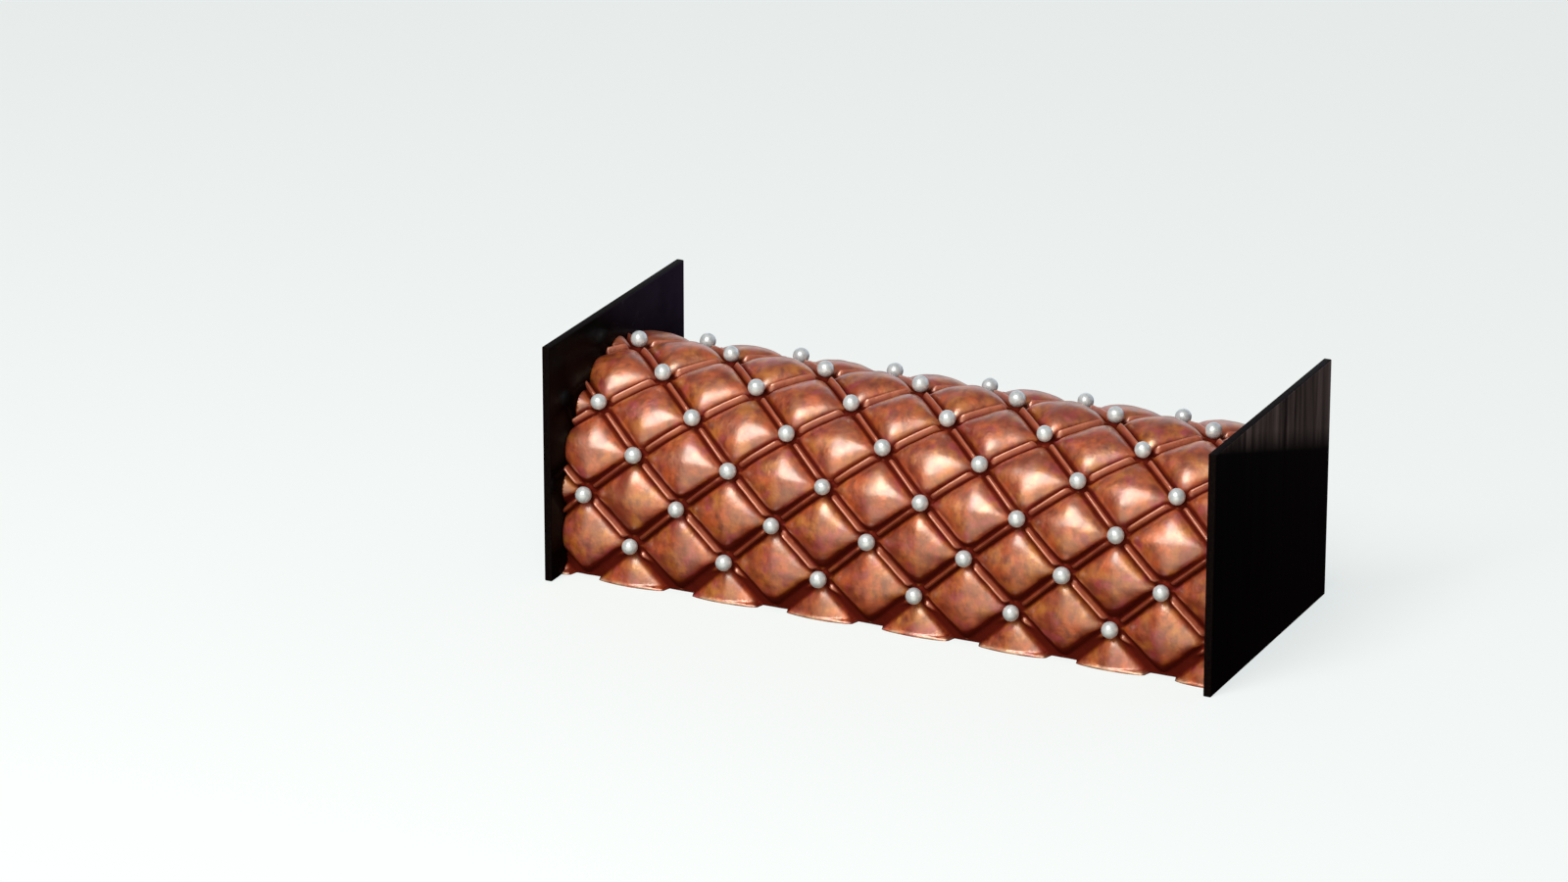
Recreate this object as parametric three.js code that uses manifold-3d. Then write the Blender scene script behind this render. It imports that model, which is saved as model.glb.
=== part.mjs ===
// A yule log cake: a quilted log with a silver sugar pearl on every crossing of
// its grooves, standing between two thin chocolate end plates. Millimetres,
// X along the log, +Z up, origin on the table under the middle of the cake.

import * as THREE from 'three';
import { mergeVertices } from 'three/addons/utils/BufferGeometryUtils.js';
import Module from 'manifold-3d';

// The log: a half-round arch on straight sides. The arch radius runs to the
// middle of the pearls, and the quilting rises and falls from there.
const LOG_LENGTH = 216.5;
const ARCH_RADIUS = 39.3;
const ARCH_CENTRE_HEIGHT = 26.5;

// The quilting: grooves cross on rows that run along the log, every second row
// shifted by half a pitch. One row lies on the ridge of the log, and the step
// to the next row on each side is a little longer than the steps below it.
const PITCH = 32;
const RIDGE_STEP = 16.4;
const ROW_STEP = 14.75;
const ROWS_EACH_SIDE = 5;
const FIRST_CROSSING_INSET = 7.4;
const CREST_RISE = 0.7;
const GROOVE_DEPTH = 4;
const CREASE_HALF_WIDTH = 1.6;

// The pearls, each on a low mound where its grooves meet.
const PEARL_DIAMETER = 5.2;
const PEARL_MOUND_HEIGHT = 2;
const PEARL_MOUND_RADIUS = 3;
const PEARL_END_CLEARANCE = 3;

// The end plates, wider and taller than the log, stand on the table.
const PLATE_THICKNESS = 2.5;
const PLATE_WIDTH = 93;
const PLATE_HEIGHT = 76.5;

// How finely the surface is divided: cells along half a pitch and across a row,
// and the smallest cell at the edges as a share of a full one.
const CELLS_PER_STEP = 4;
const SMALLEST_CELL = 0.13;
const PEARL_SIDES = 6;
const PEARL_RINGS = 4;

const COPPER = new THREE.MeshStandardMaterial({ color: '#b46a44', roughness: 0.35, metalness: 0.6 });
const DARK_CHOCOLATE = new THREE.MeshStandardMaterial({ color: '#2b1a17', roughness: 0.3, metalness: 0 });

const halfLength = LOG_LENGTH / 2;
const quarterArc = ARCH_RADIUS * Math.PI / 2;
const arcToTable = quarterArc + ARCH_CENTRE_HEIGHT;
const rowsToTable = 1 + (arcToTable - RIDGE_STEP) / ROW_STEP;
const firstCrossing = FIRST_CROSSING_INSET - halfLength;
const grooveSpacing = PITCH * 2 * ROW_STEP / Math.hypot(PITCH, 2 * ROW_STEP);

// Distance over the surface from the ridge to a place counted in rows.
function arcOfRow(row) {
  const reach = Math.abs(row);
  const arc = reach < 1 ? RIDGE_STEP * reach : RIDGE_STEP + ROW_STEP * (reach - 1);
  return Math.sign(row) * arc;
}

// Distance from a point of the unrolled surface to the nearest groove of the
// family that leans one way (lean 1) or the other (lean -1).
function grooveDistance(x, row, lean) {
  const phase = (x - firstCrossing) / PITCH + lean * row / 2;
  return Math.abs(phase - Math.round(phase)) * grooveSpacing;
}

// How far a pillow has fallen at a distance from a groove: 0 on its crest, 1 in
// the crease, round like a quarter of a circle between them.
function fallToGroove(distance) {
  const reach = (distance - CREASE_HALF_WIDTH) / (grooveSpacing / 2 - CREASE_HALF_WIDTH);
  return 1 - Math.sqrt(1 - (1 - Math.max(reach, 0)) ** 2);
}

// The fall between two crossing grooves, which join round like the sides of a
// cushion and leave soft ridges from the crest to the four corners.
function pillowFall(first, second) {
  return Math.min(Math.hypot(fallToGroove(first), fallToGroove(second)), 1);
}

// Height of the quilted surface over the arch: domed pillows between grooves.
function quiltHeight(x, row) {
  const first = grooveDistance(x, row, 1);
  const second = grooveDistance(x, row, -1);
  const pillow = CREST_RISE - GROOVE_DEPTH * pillowFall(first, second);
  const mound = PEARL_MOUND_HEIGHT * Math.max(0, 1 - Math.hypot(first, second) / PEARL_MOUND_RADIUS);
  return pillow + mound;
}

// A point over the unrolled surface, bent round the arch and down its sides.
function bentPoint(x, arc, height) {
  const side = Math.sign(arc);
  const reach = Math.abs(arc);
  const radius = ARCH_RADIUS + height;
  if (reach > quarterArc) {
    return new THREE.Vector3(x, side * radius, arcToTable - reach);
  }
  const angle = reach / ARCH_RADIUS;
  return new THREE.Vector3(x, side * radius * Math.sin(angle), ARCH_CENTRE_HEIGHT + radius * Math.cos(angle));
}

// The lines of a grid that passes through a crossing, from one end to the other.
function gridLines(low, high, origin, step) {
  const lines = [low];
  const margin = SMALLEST_CELL * step;
  const first = Math.ceil((low + margin - origin) / step);
  for (let index = first; origin + index * step < high - margin; index += 1) {
    lines.push(origin + index * step);
  }
  lines.push(high);
  return lines;
}

// Whether the groove that crosses a cell rises over the rows as x grows.
function grooveRises(x, row) {
  const halfPitches = Math.floor(2 * (x - firstCrossing) / PITCH);
  return (halfPitches + Math.floor(row)) % 2 === 0;
}

function quiltedLog() {
  const columns = gridLines(-halfLength, halfLength, firstCrossing, PITCH / 2 / CELLS_PER_STEP);
  const rows = gridLines(-rowsToTable, rowsToTable, 0, 1 / CELLS_PER_STEP);
  const points = [];
  for (const x of columns) {
    for (const row of rows) {
      points.push(bentPoint(x, arcOfRow(row), quiltHeight(x, row)));
    }
  }
  const at = (column, row) => column * rows.length + row;
  const lastColumn = columns.length - 1;
  const lastRow = rows.length - 1;
  const faces = [];

  // The quilted skin, each cell split along its groove.
  for (let column = 0; column < lastColumn; column += 1) {
    for (let line = 0; line < lastRow; line += 1) {
      const near = at(column, line);
      const nearNext = at(column + 1, line);
      const far = at(column, line + 1);
      const farNext = at(column + 1, line + 1);
      const middleX = (columns[column] + columns[column + 1]) / 2;
      const middleRow = (rows[line] + rows[line + 1]) / 2;
      if (grooveRises(middleX, middleRow)) {
        faces.push([near, nearNext, farNext], [near, farNext, far]);
      } else {
        faces.push([near, nearNext, far], [nearNext, farNext, far]);
      }
    }
  }

  // The flat underside.
  for (let column = 0; column < lastColumn; column += 1) {
    faces.push([at(column, 0), at(column, lastRow), at(column + 1, 0)]);
    faces.push([at(column + 1, 0), at(column, lastRow), at(column + 1, lastRow)]);
  }

  // The cut ends, each a fan about the centre of the arch.
  for (const [column, direction] of [[0, -1], [lastColumn, 1]]) {
    const centre = points.length;
    points.push(new THREE.Vector3(columns[column], 0, ARCH_CENTRE_HEIGHT));
    for (let line = 0; line <= lastRow; line += 1) {
      const here = at(column, line);
      const next = at(column, (line + 1) % rows.length);
      faces.push(direction > 0 ? [centre, next, here] : [centre, here, next]);
    }
  }

  const geometry = new THREE.BufferGeometry();
  geometry.setFromPoints(points);
  geometry.setIndex(faces.flat());
  return geometry;
}

// A sugar pearl whose poles point out of the log.
function pearl(x, arc) {
  const geometry = new THREE.SphereGeometry(PEARL_DIAMETER / 2, PEARL_SIDES, PEARL_RINGS);
  const centre = bentPoint(x, arc, 0);
  const outward = bentPoint(x, arc, 1).sub(centre);
  const turn = new THREE.Quaternion().setFromUnitVectors(new THREE.Vector3(0, 1, 0), outward);
  geometry.applyQuaternion(turn);
  geometry.translate(centre.x, centre.y, centre.z);
  return geometry;
}

// One pearl on each crossing that leaves it room in front of the end plates.
function pearls() {
  const all = [];
  for (let row = -ROWS_EACH_SIDE; row <= ROWS_EACH_SIDE; row += 1) {
    const shift = row % 2 === 0 ? 0 : PITCH / 2;
    const rowStart = firstCrossing + shift;
    for (let x = rowStart; x < halfLength - PEARL_END_CLEARANCE; x += PITCH) {
      all.push(pearl(x, arcOfRow(row)));
    }
  }
  return all;
}

const wasm = await Module();
wasm.setup();

function solidOf(geometry) {
  geometry.deleteAttribute('normal');
  geometry.deleteAttribute('uv');
  const merged = mergeVertices(geometry);
  const mesh = new wasm.Mesh({
    numProp: 3,
    vertProperties: new Float32Array(merged.attributes.position.array),
    triVerts: new Uint32Array(merged.index.array),
  });
  return new wasm.Manifold(mesh);
}

function geometryOf(solid) {
  const mesh = solid.getMesh();
  const geometry = new THREE.BufferGeometry();
  geometry.setAttribute('position', new THREE.BufferAttribute(mesh.vertProperties, 3));
  geometry.setIndex(new THREE.BufferAttribute(mesh.triVerts, 1));
  geometry.computeVertexNormals();
  return geometry;
}

function logWithPearls() {
  let solid = solidOf(quiltedLog());
  for (const geometry of pearls()) {
    solid = solid.add(solidOf(geometry));
  }
  return geometryOf(solid);
}

function endPlate(name, direction) {
  const geometry = new THREE.BoxGeometry(PLATE_THICKNESS, PLATE_WIDTH, PLATE_HEIGHT);
  const plate = new THREE.Mesh(geometry, DARK_CHOCOLATE);
  plate.name = name;
  plate.position.set(direction * (halfLength + PLATE_THICKNESS / 2), 0, PLATE_HEIGHT / 2);
  return plate;
}

const log = new THREE.Mesh(logWithPearls(), COPPER);
log.name = 'quilted_log';

const cake = new THREE.Group();
cake.name = 'yule_log_cake';
cake.add(log, endPlate('end_plate_left', -1), endPlate('end_plate_right', 1));

export default cake;
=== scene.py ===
import math

import bmesh
import bpy
import numpy as np
from mathutils import Matrix, Vector


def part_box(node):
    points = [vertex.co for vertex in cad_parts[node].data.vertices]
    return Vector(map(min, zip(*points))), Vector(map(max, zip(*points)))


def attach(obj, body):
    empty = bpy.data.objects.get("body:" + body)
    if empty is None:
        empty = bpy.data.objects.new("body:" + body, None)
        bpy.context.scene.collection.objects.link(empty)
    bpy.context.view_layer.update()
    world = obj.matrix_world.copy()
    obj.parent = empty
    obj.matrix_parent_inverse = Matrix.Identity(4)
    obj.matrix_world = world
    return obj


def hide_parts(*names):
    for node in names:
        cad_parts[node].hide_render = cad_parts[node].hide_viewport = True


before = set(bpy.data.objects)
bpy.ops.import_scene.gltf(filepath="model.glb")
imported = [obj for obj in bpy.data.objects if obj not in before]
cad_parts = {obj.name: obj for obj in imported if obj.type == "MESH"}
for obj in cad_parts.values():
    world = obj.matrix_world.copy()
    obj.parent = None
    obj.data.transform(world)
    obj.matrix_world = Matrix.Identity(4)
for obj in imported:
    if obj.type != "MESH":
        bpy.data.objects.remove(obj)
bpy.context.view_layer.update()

MM = 0.001

# The log's section: a half-round arch on straight sides, and its quilting.
ARCH_RADIUS = 39.3 * MM
ARCH_CENTRE_HEIGHT = 26.5 * MM
PITCH = 32 * MM
RIDGE_STEP = 16.4 * MM
ROW_STEP = 14.75 * MM
ROWS_EACH_SIDE = 5
FIRST_CROSSING_INSET = 7.4 * MM
CREST_RISE = 0.7 * MM
GROOVE_DEPTH = 4 * MM

# The groove's section, measured square to the groove: a thin raised cord runs
# along its middle, with a crease on each side and then the pillow's wall. The
# cord sinks away towards each crossing and towards the table.
CORD_HALF_WIDTH = 0.85 * MM
CORD_HEIGHT = 2.4 * MM
CREASE_END = 1.6 * MM
CORD_FROM_CROSSING = (2.8 * MM, 4.4 * MM)
CLEAR_OF_TABLE = (7 * MM, 12 * MM)

# Painted shade: the creases, up to a little way beside them, and the walls that
# face down are painted dark chocolate; on the walls it grows as the upward part of
# their outward direction falls from the second of these slopes to the first.
CREASE_SHADE_REACH = 2.35 * MM
UNDERSIDE_SHADE_BY_SLOPE = (-0.48, -0.26)

# A cord is fully dusted from this share of its height. On the second family's
# cords, painted shade takes a share of the cord colour, which grows to its full
# size between these two rows below the ridge.
DUSTED_CORD = 0.6
CORD_SHADE_SHARE = 0.6
CORD_SHADE_BY_ROW = (2.2, 3.4)

# The mound at each crossing, which the pearl sits on.
MOUND_HEIGHT = 2 * MM
MOUND_RADIUS = 3.4 * MM

# The thin foot of coating along the table: its height, the height below which it
# is whole, how far it flares out, how far it straightens the wall, how far a
# pillow has to rise to carry all of it, and how many cuts divide the sheet there.
FOOT_HEIGHT = 1.2 * MM
FOOT_WHOLE_BELOW = 0.4 * FOOT_HEIGHT
FOOT_FLARE = 0.3 * MM
FOOT_STRAIGHTENS = 0.5
FOOT_UNDER_PILLOW = 0.25
FOOT_CUTS = 4

# Unevenness: how far each pillow stands off and tilts, and the surface's lumps,
# as pairs of wavelength and size. Each kind of lump is a sum of seeded waves
# whose lengths lie between these shares of its wavelength.
PILLOW_SEED = 5
PILLOW_OFFSET = 0.12 * MM
PILLOW_TILT = 0.02
LUMPS = ((14 * MM, 0.1 * MM), (5 * MM, 0.04 * MM))
LUMP_WAVES = 14
LUMP_LENGTHS = (0.7, 1.5)

# The pearls, and how far they stray from their place, size and roundness.
PEARL_RADIUS = 2.6 * MM
PEARL_END_CLEARANCE = 3 * MM
PEARL_SEGMENTS = 28
PEARL_RINGS = 16
PEARL_SEED = 11
PEARL_STRAY = 0.12 * MM
PEARL_SIZES = (0.97, 1.03)
PEARL_ROUNDNESS = (0.97, 1.01)

# How finely the quilted surface is divided between two grooves of a family, the
# margin that is laid out before it is cut to size, and how close to a line a
# point counts as on it when the sheet is cut and when its edges are found.
LEVELS = 16
LEVEL_CROWDING = 1.5
SHEET_MARGIN = 3 * MM
CUT_TOLERANCE = 1e-7
EDGE_TOLERANCE = 1e-6

# The most corners that a face of the quilted skin has. The cut ends and the
# underside are single faces with many more.
SKIN_CORNERS = 5

# The plates: their softened edges, the order of their finishes, and how squarely
# a face looks along the log to count as a side and not as an edge.
PLATE_BEVEL = 0.35 * MM
BEVEL_SEGMENTS = 3
INSIDE_FINISH, OUTSIDE_FINISH, EDGE_FINISH = range(3)
SIDE_FACING = 0.9

# Colours of the coating, as linear red, green and blue.
LIGHT_COPPER = (0.61, 0.097, 0.020)
DEEP_COPPER = (0.30, 0.024, 0.005)
GOLDEN_COPPER = (0.55, 0.157, 0.013)
ROSE_COPPER = (0.42, 0.036, 0.060)
RUSTY_COPPER = (0.23, 0.019, 0.004)
CORD_COPPER = (0.52, 0.115, 0.065)
COPPER_GLOSS = (1, 0.91, 0.58, 1)
PALE_FOOT = (0.62, 0.36, 0.24)
# Dark chocolate painted as shade in the creases and on walls that face down.
PAINTED_SHADE_BROWN = (0.088, 0.0095, 0.0055)

# Colours of the pearls and plates.
BRIGHT_SILVER = (0.74, 0.82, 0.88)
DULL_SILVER = (0.58, 0.66, 0.72)
PLATE_CHOCOLATE = (0.0022, 0.0012, 0.0014)
PLATE_CLOUDS = (0.0045, 0.0026, 0.0026)
# A painted bluish reflection near the plates' top corner.
PLATE_PAINTED_REFLECTION = (0.040, 0.030, 0.065)
# Brush streaks, lightened as a painted reflection towards the top.
BRUSH_MARK_SHEEN = (0.17, 0.13, 0.13)
EDGE_CHOCOLATE = (0.0015, 0.0008, 0.0009)
EDGE_CRUMB = (0.005, 0.0025, 0.0025)

# Colours of the floor and the surroundings.
FLOOR_COLOUR = (0.30, 0.31, 0.31, 1)
FLOOR_SHINE = (0.94, 1, 1, 1)
DIM_BELOW = (0.012, 0.006, 0.005)
DIM_ABOVE = (0.045, 0.032, 0.030)
CEILING = (0.20, 0.18, 0.17)
BACKDROP = (0.90, 0.96, 1.05)
GLOW = (1.35, 1.22, 0.97)

# The camera: where it looks, from what angle and with what lens.
CAMERA_AIM = Vector((-51.1, 0, 39.9)) * MM
CAMERA_AZIMUTH = 25.468
CAMERA_ELEVATION = 20.181
CAMERA_DISTANCE = 2.1198
CAMERA_LENS = 157.59

UP = Vector((0, 0, 1))
LIGHT_TARGET = Vector((0, 0, 35)) * MM
FLOOR_SIZE = 14

LOG_LOW, LOG_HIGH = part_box("quilted_log")
HALF_LENGTH = (LOG_HIGH[0] - LOG_LOW[0]) / 2
QUARTER_ARC = ARCH_RADIUS * math.pi / 2
ARC_TO_TABLE = QUARTER_ARC + ARCH_CENTRE_HEIGHT
ROWS_TO_TABLE = 1 + (ARC_TO_TABLE - RIDGE_STEP) / ROW_STEP
FIRST_CROSSING = FIRST_CROSSING_INSET - HALF_LENGTH
GROOVE_SPACING = PITCH * 2 * ROW_STEP / math.hypot(PITCH, 2 * ROW_STEP)


def bend(x, arc, height):
    """Points over the unrolled surface, bent round the arch and down its sides."""
    side = np.sign(arc)
    reach = np.abs(arc)
    radius = ARCH_RADIUS + height
    angle = np.minimum(reach, QUARTER_ARC) / ARCH_RADIUS
    y = side * radius * np.sin(angle)
    z = ARCH_CENTRE_HEIGHT + radius * np.cos(angle)
    z = np.where(reach > QUARTER_ARC, ARC_TO_TABLE - reach, z)
    return np.stack([x, y, z], axis=-1)


def add_object(mesh):
    """Put a mesh into the scene as an object of the same name."""
    made = bpy.data.objects.new(mesh.name, mesh)
    bpy.context.collection.objects.link(made)
    return made


def soft_noise(x, arc, wavelength, seed):
    """Smooth noise between about -1 and 1 from a few seeded waves."""
    draw = np.random.default_rng(seed)
    total = np.zeros_like(x)
    for _ in range(LUMP_WAVES):
        turn = draw.uniform(0, 2 * math.pi)
        phase = draw.uniform(0, 2 * math.pi)
        length = wavelength * draw.uniform(*LUMP_LENGTHS)
        along = x * math.cos(turn) + arc * math.sin(turn)
        total += np.sin(2 * math.pi * along / length + phase)
    return total / math.sqrt(LUMP_WAVES)


def ramp(value, start, end):
    """A smooth step from 0 at start to 1 at end."""
    t = np.clip((value - start) / (end - start), 0, 1)
    return t * t * (3 - 2 * t)


def arc_of_row(row):
    """Distance over the surface from the ridge to a place counted in rows."""
    reach = np.abs(row)
    return np.sign(row) * (RIDGE_STEP * np.minimum(reach, 1) + ROW_STEP * np.maximum(reach - 1, 0))


def row_of_arc(arc):
    """The place counted in rows, from its distance over the surface to the ridge."""
    reach = np.abs(arc)
    below = np.maximum(reach - RIDGE_STEP, 0)
    return np.sign(arc) * (np.minimum(reach, RIDGE_STEP) / RIDGE_STEP + below / ROW_STEP)


def groove_phase(x, arc, lean):
    """A number that is whole on the grooves that lean one way (1) or the other (-1)."""
    return (x - FIRST_CROSSING) / PITCH + lean * row_of_arc(arc) / 2


def groove_distances(x, arc):
    """Distances square to the nearest groove of each family."""
    phases = [groove_phase(x, arc, lean) for lean in (1, -1)]
    return [np.abs(phase - np.round(phase)) * GROOVE_SPACING for phase in phases]


def fall_to_groove(distance):
    """How far the surface has fallen near a groove: 0 on the crest, 1 in the crease."""
    reach = (distance - CREASE_END) / (GROOVE_SPACING / 2 - CREASE_END)
    return 1 - np.sqrt(1 - (1 - np.clip(reach, 0, 1)) ** 2)


def pillow_rise(first, second):
    """How far a pillow has risen between its grooves: 0 in the creases, 1 at the crest."""
    return np.maximum(1 - np.hypot(fall_to_groove(first), fall_to_groove(second)), 0)


def cord_rise(distance):
    """The round section of the thin cord in the middle of a groove."""
    reach = np.clip(distance / CORD_HALF_WIDTH, 0, 1)
    return np.sqrt(1 - reach ** 2)


def clear_of_table(arc):
    """1 over most of the log, sinking to 0 close to the table."""
    return ramp(ARC_TO_TABLE - np.abs(arc), *CLEAR_OF_TABLE)


def cords(arc, first, second):
    """The cords of both families, which sink away towards each crossing and the table."""
    clear = ramp(np.hypot(first, second), *CORD_FROM_CROSSING) * clear_of_table(arc)
    return np.maximum(cord_rise(first), cord_rise(second)) * clear


def cord_colour_and_shade(arc, first, second):
    """How much cord colour shows: on the second family's cords low on the sides, a share gives way
    to painted shade.
    """
    cord_shade = CORD_SHADE_SHARE * ramp(np.abs(row_of_arc(arc)), *CORD_SHADE_BY_ROW)
    on_second = (second < first) * cord_shade
    return ramp(cords(arc, first, second), 0, DUSTED_CORD) * (1 - on_second)


def mounds(arc, first, second):
    """The low mounds under the pearls."""
    return (1 - ramp(np.hypot(first, second), 0, MOUND_RADIUS)) * clear_of_table(arc)


def painted_shade_mask(arc, first, second, facing_up):
    """Painted shade: 1 in the creases and on walls that face down, 0 in the open and on dusted
    cords.
    """
    creases = 1 - ramp(np.minimum(first, second), CREASE_END, CREASE_SHADE_REACH)
    undersides = 1 - ramp(facing_up, *UNDERSIDE_SHADE_BY_SLOPE)
    painted_shade = np.maximum(creases, undersides)
    return painted_shade * (1 - cord_colour_and_shade(arc, first, second))


def pillow_unevenness(x, arc):
    """A small offset and tilt of its own for each pillow."""
    phases = [groove_phase(x, arc, lean) for lean in (1, -1)]
    cells = [np.floor(phase).astype(int) for phase in phases]
    lowest = min(cell.min() for cell in cells)
    count = max(cell.max() for cell in cells) - lowest + 1
    draw = np.random.default_rng(PILLOW_SEED).normal(0, 1, (3, count, count))
    offset, lean_first, lean_second = draw[:, cells[0] - lowest, cells[1] - lowest]
    first, second = [(phase - cell - 0.5) * GROOVE_SPACING for phase, cell in zip(phases, cells)]
    return PILLOW_OFFSET * offset + PILLOW_TILT * (lean_first * first + lean_second * second)


def quilt_height(x, arc, first, second):
    """Height over the arch, from the distances to the nearest groove of each family."""
    pillow = pillow_rise(first, second)
    height = CREST_RISE - GROOVE_DEPTH * (1 - pillow)
    height += CORD_HEIGHT * cords(arc, first, second) + MOUND_HEIGHT * mounds(arc, first, second)
    height += pillow * pillow_unevenness(x, arc)
    for seed, (wavelength, size) in enumerate(LUMPS):
        height += size * soft_noise(x, arc, wavelength, seed)
    above_table = ARC_TO_TABLE - np.abs(arc)
    low_down = 1 - ramp(above_table, FOOT_WHOLE_BELOW, FOOT_HEIGHT)
    foot = low_down * ramp(pillow, 0, FOOT_UNDER_PILLOW)
    return height + foot * (FOOT_FLARE + FOOT_STRAIGHTENS * (CREST_RISE - height))


def lattice_levels():
    """Where the surface is divided across one pillow, crowded towards its two grooves."""
    half = 0.5 * np.linspace(0, 1, LEVELS + 1) ** LEVEL_CROWDING
    return np.concatenate([half, 1 - half[-2::-1]])[:-1]


def cut(work, point, outward, clear):
    """Divide the sheet along a plane, and drop what lies outside it if asked to."""
    everything = work.verts[:] + work.edges[:] + work.faces[:]
    bmesh.ops.bisect_plane(
        work,
        geom=everything,
        dist=CUT_TOLERANCE,
        plane_co=point,
        plane_no=outward,
        clear_outer=clear,
    )


def laid_out_quilt():
    """The quilted skin laid flat, divided along both families of grooves, with a margin."""
    levels = lattice_levels()
    low = math.floor(-FIRST_CROSSING_INSET / PITCH - ROWS_TO_TABLE / 2)
    high = math.ceil((2 * HALF_LENGTH - FIRST_CROSSING_INSET) / PITCH + ROWS_TO_TABLE / 2)
    phases = np.concatenate([cell + levels for cell in range(low, high)])
    first, second = np.meshgrid(phases, phases, indexing="ij")
    x = FIRST_CROSSING + PITCH * (first + second) / 2
    arc = arc_of_row(first - second)
    near_length = np.abs(x) < HALF_LENGTH + SHEET_MARGIN
    near = near_length & (np.abs(arc) < ARC_TO_TABLE + SHEET_MARGIN)
    used = near[:-1, :-1] & near[1:, :-1] & near[:-1, 1:] & near[1:, 1:]
    size = len(phases)
    corners = np.argwhere(used)
    index = corners[:, 0] * size + corners[:, 1]
    quads = np.stack([index, index + size, index + size + 1, index + 1], axis=1)
    kept, quads = np.unique(quads, return_inverse=True)
    quads = quads.reshape(-1, 4)
    flat = np.stack([x.ravel()[kept], arc.ravel()[kept], np.zeros(len(kept))], axis=1)
    mesh = bpy.data.meshes.new("log_coating")
    mesh.from_pydata(flat.tolist(), [], quads.tolist())
    return mesh


def cut_to_size(work):
    """Cut the flat skin to the log's length and reach, and divide it finely for the foot."""
    for side in (-1, 1):
        cut(work, (side * HALF_LENGTH, 0, 0), (side, 0, 0), True)
        cut(work, (0, side * ARC_TO_TABLE, 0), (0, side, 0), True)
        for step in range(1, FOOT_CUTS + 1):
            place = ARC_TO_TABLE - FOOT_HEIGHT * step / FOOT_CUTS
            cut(work, (0, side * place, 0), (0, side, 0), False)


def close_log(work):
    """The two ends and the underside, joined on while the skin still lies flat."""
    boundary = [v for v in work.verts if v.is_boundary]
    for side in (-1, 1):
        end = [v for v in boundary if abs(v.co.x - side * HALF_LENGTH) < EDGE_TOLERANCE]
        work.faces.new(sorted(end, key=lambda v: v.co.y))
    back = [v for v in boundary if abs(v.co.y - ARC_TO_TABLE) < EDGE_TOLERANCE]
    front = [v for v in boundary if abs(v.co.y + ARC_TO_TABLE) < EDGE_TOLERANCE]
    back.sort(key=lambda v: v.co.x)
    front.sort(key=lambda v: -v.co.x)
    work.faces.new(back + front)


def mark(work, name, values):
    """Give each corner of the mesh a value that its material reads."""
    layer = work.verts.layers.float.new(name)
    for vertex, value in zip(work.verts, values):
        vertex[layer] = value


def make_log():
    """The log's coating: quilted, bent over the arch, closed below and at the ends."""
    mesh = laid_out_quilt()
    work = bmesh.new()
    work.from_mesh(mesh)
    cut_to_size(work)
    close_log(work)
    flat = np.array([v.co for v in work.verts])
    x = flat[:, 0]
    arc = flat[:, 1]
    first, second = groove_distances(x, arc)
    bent = bend(x, arc, quilt_height(x, arc, first, second))
    for vertex, place in zip(work.verts, bent):
        vertex.co = place
    bmesh.ops.recalc_face_normals(work, faces=work.faces[:])
    work.normal_update()
    facing_up = np.array([v.normal.z for v in work.verts])
    # Painted shade, and the cord colour with its own painted shade, go to the material as corner
    # values.
    mark(work, "painted_shade", painted_shade_mask(arc, first, second, facing_up))
    mark(work, "cord", cord_colour_and_shade(arc, first, second))
    work.to_mesh(mesh)
    work.free()
    for face in mesh.polygons:
        face.use_smooth = len(face.vertices) <= SKIN_CORNERS
    return add_object(mesh)


def crossings():
    """Every crossing of the grooves that carries a pearl, on the unrolled surface."""
    for row in range(-ROWS_EACH_SIDE, ROWS_EACH_SIDE + 1):
        x = FIRST_CROSSING + (row % 2) * PITCH / 2
        while x < HALF_LENGTH - PEARL_END_CLEARANCE:
            yield x, arc_of_row(row)
            x += PITCH


def unit_sphere():
    """Corners and faces of one small sphere."""
    work = bmesh.new()
    bmesh.ops.create_uvsphere(work, u_segments=PEARL_SEGMENTS, v_segments=PEARL_RINGS, radius=1)
    corners = np.array([v.co for v in work.verts])
    faces = [[v.index for v in face.verts] for face in work.faces]
    work.free()
    return corners, faces


def make_pearls():
    """All the sugar pearls as one mesh, each a little off its place, size and roundness."""
    draw = np.random.default_rng(PEARL_SEED)
    corners, faces = unit_sphere()
    all_corners = []
    all_faces = []
    for count, (x, arc) in enumerate(crossings()):
        along, across, out = draw.normal(0, PEARL_STRAY, 3)
        place = bend(np.array(x + along), np.array(arc + across), np.array(out / 2))
        radii = PEARL_RADIUS * draw.uniform(*PEARL_SIZES) * draw.uniform(*PEARL_ROUNDNESS, 3)
        all_corners.extend((place + corners * radii).tolist())
        all_faces.extend([[index + count * len(corners) for index in face] for face in faces])
    mesh = bpy.data.meshes.new("sugar_pearls")
    mesh.from_pydata(all_corners, [], all_faces)
    mesh.shade_smooth()
    return add_object(mesh)


def plate_finish(outwards):
    """The finish of a plate's face, from how squarely it looks away from the log."""
    if outwards > SIDE_FACING:
        return OUTSIDE_FINISH
    if outwards < -SIDE_FACING:
        return INSIDE_FINISH
    return EDGE_FINISH


def make_plate(node):
    """A thin chocolate plate with softened edges: smooth inside, brushed outside, cut around."""
    low, high = (Vector(corner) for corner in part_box(node))
    middle = (low + high) / 2
    work = bmesh.new()
    bmesh.ops.create_cube(work, size=1)
    for vertex in work.verts:
        vertex.co = middle + vertex.co * (high - low)
    bmesh.ops.bevel(
        work,
        geom=work.edges[:],
        offset=PLATE_BEVEL,
        segments=BEVEL_SEGMENTS,
        profile=0.5,
        affect="EDGES",
    )
    for face in work.faces:
        face.smooth = True
        face.material_index = plate_finish(face.normal.x * math.copysign(1, middle.x))
    mesh = bpy.data.meshes.new(node + "_chocolate")
    work.to_mesh(mesh)
    work.free()
    return add_object(mesh)


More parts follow.
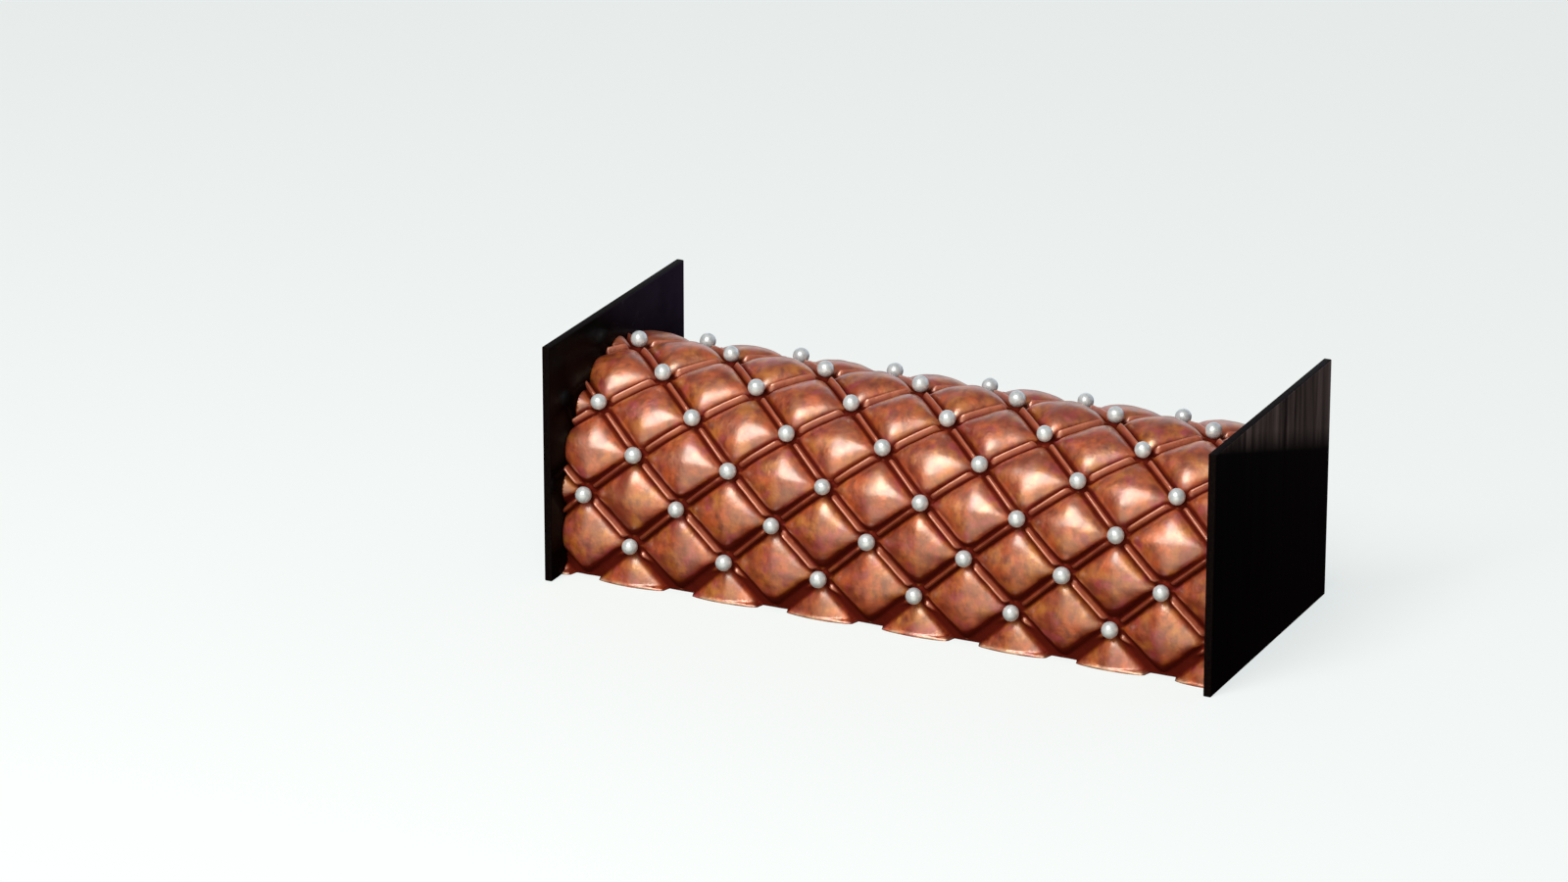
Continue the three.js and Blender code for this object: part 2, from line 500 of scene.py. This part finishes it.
class Nodes:
    """Short forms for building the node tree of a material or a world."""

    def __init__(self, owner, shader):
        owner.use_nodes = True
        self.owner = owner
        self.tree = owner.node_tree
        self.shader = self.tree.nodes[shader]

    def add(self, kind, **settings):
        node = self.tree.nodes.new(kind)
        for key, value in settings.items():
            setattr(node, key, value)
        return node

    def link(self, source, target):
        self.tree.links.new(source, target)

    def place(self, stretch=(1, 1, 1)):
        """Object coordinates in millimetres, scaled by stretch."""
        coordinates = self.add("ShaderNodeTexCoord")
        mapping = self.add("ShaderNodeMapping")
        mapping.inputs["Scale"].default_value = [factor / MM for factor in stretch]
        self.link(coordinates.outputs["Object"], mapping.inputs["Vector"])
        return mapping.outputs["Vector"]

    def noise(self, scale, detail=2, stretch=(1, 1, 1)):
        """Soft noise through the object, with about scale cells to a millimetre."""
        node = self.add("ShaderNodeTexNoise")
        node.inputs["Scale"].default_value = scale
        node.inputs["Detail"].default_value = detail
        self.link(self.place(stretch), node.inputs["Vector"])
        return node.outputs["Fac"]

    def spread(self, source, low, high, to_low=0, to_high=1):
        """Map a range of values to another, without going past it."""
        node = self.add("ShaderNodeMapRange")
        node.inputs["From Min"].default_value = low
        node.inputs["From Max"].default_value = high
        node.inputs["To Min"].default_value = to_low
        node.inputs["To Max"].default_value = to_high
        self.link(source, node.inputs["Value"])
        return node.outputs["Result"]

    def blend(self, factor, first, second):
        """Mix two colours, each a socket or a linear RGB triple."""
        node = self.add("ShaderNodeMix", data_type="RGBA")
        self.link(factor, node.inputs["Factor"])
        for value, name in ((first, "A"), (second, "B")):
            socket = next(s for s in node.inputs if s.name == name and s.type == "RGBA")
            if isinstance(value, bpy.types.NodeSocket):
                self.link(value, socket)
            else:
                socket.default_value = (*value, 1)
        return next(s for s in node.outputs if s.type == "RGBA")

    def along(self, direction, vector=None):
        """How far a vector, or else the place in millimetres, reaches along a direction."""
        dot = self.add("ShaderNodeVectorMath", operation="DOT_PRODUCT")
        self.link(vector or self.place(), dot.inputs[0])
        dot.inputs[1].default_value = direction
        return dot.outputs["Value"]

    def multiply(self, first, second):
        node = self.add("ShaderNodeMath", operation="MULTIPLY")
        self.link(first, node.inputs[0])
        self.link(second, node.inputs[1])
        return node.outputs["Value"]

    def attribute(self, name):
        """A value that the mesh carries at its corners."""
        node = self.add("ShaderNodeAttribute", attribute_type="GEOMETRY", attribute_name=name)
        return node.outputs["Fac"]

    def bump(self, height, distance, strength, below=None):
        """Relief of this depth, laid over the relief below if there is one."""
        node = self.add("ShaderNodeBump")
        node.inputs["Distance"].default_value = distance
        node.inputs["Strength"].default_value = strength
        self.link(height, node.inputs["Height"])
        if below is not None:
            self.link(below, node.inputs["Normal"])
        return node.outputs["Normal"]


def material_nodes(name):
    """A new material of this name, ready for its nodes."""
    return Nodes(bpy.data.materials.new(name), "Principled BSDF")


def dust_colour(nodes, strokes):
    """Copper dust in light and deep patches, with golden and rose drifts and rusty strokes."""
    deep = nodes.spread(nodes.noise(0.13, 3), 0.38, 0.62)
    colour = nodes.blend(deep, LIGHT_COPPER, DEEP_COPPER)
    golden = nodes.spread(nodes.noise(0.15, 2), 0.46, 0.68)
    colour = nodes.blend(golden, colour, GOLDEN_COPPER)
    rose = nodes.spread(nodes.noise(0.19, 2), 0.47, 0.32)
    colour = nodes.blend(rose, colour, ROSE_COPPER)
    return nodes.blend(nodes.spread(strokes, 0.42, 0.74), colour, RUSTY_COPPER)


def coating_colour(nodes, strokes, painted_shade):
    """The dust, a pale foot with gaps along the table, the cords, and painted shade in dark
    chocolate.
    """
    foot = nodes.spread(nodes.along(UP), 0.4, 1.0, 1, 0)
    foot_gaps = nodes.spread(nodes.noise(0.15, 1), 0.4, 0.55)
    colour = nodes.blend(nodes.multiply(foot, foot_gaps), dust_colour(nodes, strokes), PALE_FOOT)
    colour = nodes.blend(nodes.attribute("cord"), colour, CORD_COPPER)
    return nodes.blend(painted_shade, colour, PAINTED_SHADE_BROWN)


def coating_relief(nodes, strokes):
    """Soft ripples, then brush strokes, then a fine grain."""
    ripples = nodes.bump(nodes.noise(0.3, 2), 0.5 * MM, 0.6)
    brushed = nodes.bump(strokes, 0.15 * MM, 0.6, below=ripples)
    return nodes.bump(nodes.noise(1.2, 3), 0.06 * MM, 0.6, below=brushed)


def copper_coating():
    """Chocolate dusted with copper lustre: satin and mottled; dark and without gloss where shade is
    painted.
    """
    nodes = material_nodes("copper_coating")
    shader = nodes.shader
    strokes = nodes.noise(0.4, 2, stretch=(1, 0.75, 0.75))
    painted_shade = nodes.attribute("painted_shade")
    nodes.link(coating_colour(nodes, strokes, painted_shade), shader.inputs["Base Color"])
    roughness = nodes.spread(nodes.noise(0.33, 3), 0.32, 0.68, 0.66, 0.38)
    nodes.link(roughness, shader.inputs["Roughness"])
    shader.inputs["Metallic"].default_value = 0.3
    shader.inputs["IOR"].default_value = 2.4
    shader.inputs["Specular Tint"].default_value = COPPER_GLOSS
    # Where shade is painted, the gloss and the coat fade out as well.
    nodes.link(nodes.spread(painted_shade, 0, 0.8, 0.5, 0), shader.inputs["Specular IOR Level"])
    nodes.link(nodes.spread(painted_shade, 0, 0.8, 0.8, 0), shader.inputs["Coat Weight"])
    shader.inputs["Coat IOR"].default_value = 2
    shader.inputs["Coat Roughness"].default_value = 0.29
    nodes.link(coating_relief(nodes, strokes), shader.inputs["Normal"])
    return nodes.owner


def silver_pearl():
    """Sugar with a silver coating, satin and slightly uneven."""
    nodes = material_nodes("silver_pearl")
    shader = nodes.shader
    dull = nodes.spread(nodes.noise(0.7, 2), 0.35, 0.65)
    nodes.link(nodes.blend(dull, BRIGHT_SILVER, DULL_SILVER), shader.inputs["Base Color"])
    shader.inputs["Metallic"].default_value = 0.3
    roughness = nodes.spread(nodes.noise(1.1, 2), 0.3, 0.7, 0.26, 0.38)
    nodes.link(roughness, shader.inputs["Roughness"])
    dimples = nodes.bump(nodes.noise(1.3, 2), 0.08 * MM, 0.5)
    nodes.link(dimples, shader.inputs["Normal"])
    return nodes.owner


def smooth_chocolate():
    """The moulded side of a tempered chocolate sheet: near black, glossy, with a painted bluish
    reflection towards the top corner.
    """
    nodes = material_nodes("smooth_chocolate")
    shader = nodes.shader
    clouds = nodes.spread(nodes.noise(0.06, 3), 0.35, 0.65)
    colour = nodes.blend(clouds, PLATE_CHOCOLATE, PLATE_CLOUDS)
    # Painted reflection, growing towards the plate's top corner.
    towards_top_corner = nodes.spread(nodes.along((0, 0.6, 1)), 66, 96)
    painted_reflection = nodes.multiply(towards_top_corner, nodes.spread(clouds, 0, 1, 0.6, 1))
    nodes.link(nodes.blend(painted_reflection, colour, PLATE_PAINTED_REFLECTION), shader.inputs["Base Color"])
    nodes.link(nodes.spread(clouds, 0, 1, 0.18, 0.28), shader.inputs["Roughness"])
    shader.inputs["Specular IOR Level"].default_value = 0.03
    wobble = nodes.bump(nodes.noise(0.08, 2), 0.2 * MM, 0.5)
    nodes.link(wobble, shader.inputs["Normal"])
    return nodes.owner


def brushed_chocolate():
    """The open side of a chocolate sheet, with upright brush streaks, lightened by a painted
    reflection above a slanted line near the top.
    """
    nodes = material_nodes("brushed_chocolate")
    shader = nodes.shader
    streaks = nodes.noise(1.0, 4, stretch=(1, 0.32, 0.02))
    # The streaks are lightened as a painted reflection only above a slanted line near the top.
    towards_top = nodes.spread(nodes.along((0, 0.31, 1)), 62, 69)
    mark_sheen = nodes.multiply(nodes.spread(streaks, 0.3, 0.7), towards_top)
    nodes.link(nodes.blend(mark_sheen, PLATE_CHOCOLATE, BRUSH_MARK_SHEEN), shader.inputs["Base Color"])
    nodes.link(nodes.spread(streaks, 0.3, 0.7, 0.30, 0.45), shader.inputs["Roughness"])
    shader.inputs["Specular IOR Level"].default_value = 0.03
    nodes.link(nodes.bump(streaks, 0.12 * MM, 0.6), shader.inputs["Normal"])
    return nodes.owner


def cut_chocolate():
    """The cut edge of a chocolate sheet: matte, with a fine crumb."""
    nodes = material_nodes("cut_chocolate")
    shader = nodes.shader
    crumb = nodes.noise(1.5, 3)
    colour = nodes.blend(nodes.spread(crumb, 0.35, 0.65), EDGE_CHOCOLATE, EDGE_CRUMB)
    nodes.link(colour, shader.inputs["Base Color"])
    nodes.link(nodes.spread(crumb, 0.3, 0.7, 0.6, 0.75), shader.inputs["Roughness"])
    shader.inputs["Specular IOR Level"].default_value = 0.05
    nodes.link(nodes.bump(crumb, 0.08 * MM, 0.6), shader.inputs["Normal"])
    return nodes.owner


def pale_floor():
    """A matte pale floor, lifted a little by a shine of its own."""
    nodes = material_nodes("pale_floor")
    shader = nodes.shader
    shader.inputs["Base Color"].default_value = FLOOR_COLOUR
    shader.inputs["Roughness"].default_value = 0.95
    shader.inputs["Specular IOR Level"].default_value = 0
    shader.inputs["Emission Color"].default_value = FLOOR_SHINE
    shader.inputs["Emission Strength"].default_value = 0.69
    return nodes.owner


def finish_piece(piece, materials, node):
    """Dress a piece, and have it ride on the one body in place of its solid."""
    for material in materials:
        piece.data.materials.append(material)
    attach(piece, "root")
    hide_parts(node)


def outward(azimuth, elevation):
    """The direction from the object towards a viewer or light at these angles."""
    a = math.radians(azimuth)
    e = math.radians(elevation)
    return Vector((math.sin(a) * math.cos(e), -math.cos(a) * math.cos(e), math.sin(e)))


def make_camera():
    """The camera at the photograph's viewing angle, without depth of field."""
    data = bpy.data.cameras.new("camera")
    data.lens = CAMERA_LENS
    data.sensor_width = 36
    data.clip_end = 20
    camera = bpy.data.objects.new("camera", data)
    bpy.context.collection.objects.link(camera)
    back = outward(CAMERA_AZIMUTH, CAMERA_ELEVATION)
    camera.location = CAMERA_AIM + back * CAMERA_DISTANCE
    camera.rotation_euler = (-back).to_track_quat("-Z", "Y").to_euler()
    bpy.context.scene.camera = camera


def make_softbox(name, first_end, second_end, distance, width, power, colour):
    """A long soft light between two directions, each an azimuth and an elevation."""
    ends = [LIGHT_TARGET + outward(*end) * distance for end in (first_end, second_end)]
    along = ends[1] - ends[0]
    middle = (ends[0] + ends[1]) / 2
    sideways = (middle - LIGHT_TARGET).cross(along)
    axes = [along.normalized(), sideways.normalized(), along.cross(sideways).normalized()]
    data = bpy.data.lights.new(name, "AREA")
    data.shape = "RECTANGLE"
    data.size = along.length
    data.size_y = width
    data.energy = power
    data.color = colour
    light = bpy.data.objects.new(name, data)
    bpy.context.collection.objects.link(light)
    light.matrix_world = Matrix.Translation(middle) @ Matrix(axes).transposed().to_4x4()


def make_floor():
    """A plain pale floor, which takes shadows but throws no light back up on the cake."""
    bpy.ops.mesh.primitive_plane_add(size=FLOOR_SIZE)
    floor = bpy.context.object
    floor.name = "floor"
    floor.data.materials.append(pale_floor())
    floor.visible_diffuse = False
    floor.visible_glossy = False
    floor.visible_shadow = False


def towards(world, direction, low, high):
    """A mask over the surroundings, from 0 to 1 between two cosines of the angle to a direction."""
    surroundings = world.add("ShaderNodeTexCoord").outputs["Generated"]
    return world.spread(world.along(direction, surroundings), low, high)


def make_world():
    """Dim surroundings, with a pale backdrop behind the cake and a soft glow in front of it."""
    studio = bpy.data.worlds.new("studio")
    bpy.context.scene.world = studio
    world = Nodes(studio, "Background")
    behind = towards(world, outward(180, 0), 0.3, 0.7)
    under_ceiling = towards(world, UP, 0.7, 0.4)
    over_table = towards(world, UP, -0.15, 0.05)
    backdrop = world.multiply(behind, world.multiply(under_ceiling, over_table))
    ahead = towards(world, outward(14, -5), 0.66, 0.98)
    not_underneath = towards(world, UP, -0.95, -0.55)
    glow = world.multiply(ahead, not_underneath)
    colour = world.blend(towards(world, UP, -0.4, 0.1), DIM_BELOW, DIM_ABOVE)
    colour = world.blend(towards(world, UP, 0.6, 1), colour, CEILING)
    colour = world.blend(backdrop, colour, BACKDROP)
    colour = world.blend(glow, colour, GLOW)
    world.link(colour, world.shader.inputs["Color"])


make_camera()
make_floor()
make_world()
make_softbox(
    "key",
    first_end=(-16, 66),
    second_end=(-8, 29),
    distance=1.3,
    width=0.60,
    power=12.4,
    colour=(1.0, 0.945, 0.875),
)
make_softbox(
    "side",
    first_end=(18, 54),
    second_end=(23, 26),
    distance=1.3,
    width=0.40,
    power=2.3,
    colour=(1.0, 0.95, 0.88),
)

plate_finishes = [smooth_chocolate(), brushed_chocolate(), cut_chocolate()]

finish_piece(make_log(), [copper_coating()], "quilted_log")
finish_piece(make_pearls(), [silver_pearl()], "quilted_log")
for plate_node in ("end_plate_left", "end_plate_right"):
    finish_piece(make_plate(plate_node), plate_finishes, plate_node)

bpy.context.scene.view_settings.view_transform = "Standard"
